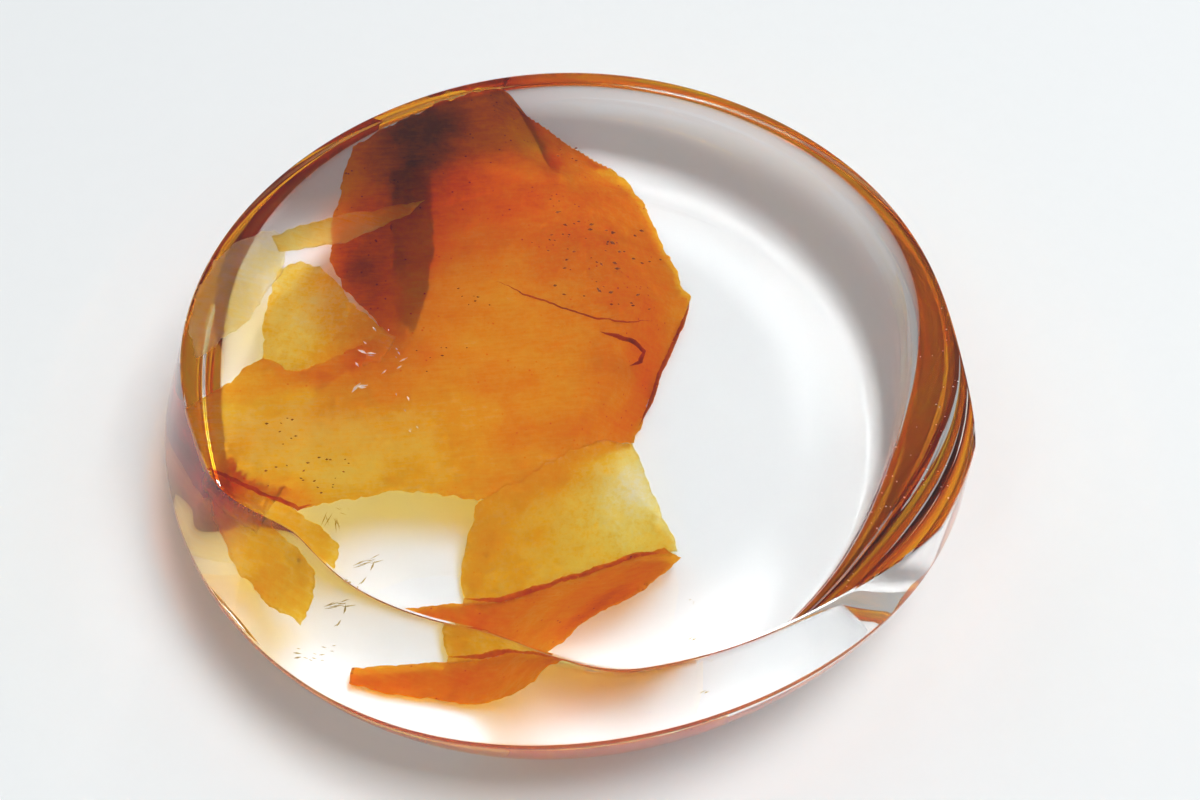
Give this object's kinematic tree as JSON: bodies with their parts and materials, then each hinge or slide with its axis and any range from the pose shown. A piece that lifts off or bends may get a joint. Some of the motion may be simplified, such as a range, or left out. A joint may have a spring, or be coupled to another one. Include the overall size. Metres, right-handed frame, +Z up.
{
  "type": "polished hematoid quartz disc",
  "caption": "Hand-cut polished disc of clear quartz with orange and yellow iron-oxide veils inside, a flat face, a bevel and a rounded underside.",
  "frame": {"origin": "middle of the stone's outline, on the surface that it stands on", "axes": "+Z up through the polished top face, +Y away from the viewer of the picture, +X to the viewer's right"},
  "size_m": [0.045, 0.045, 0.0108],
  "materials": {
    "clear_quartz": "polished"
  },
  "bodies": {
    "root": {"hematoid_quartz": "clear_quartz"}
  },
  "joints": []
}
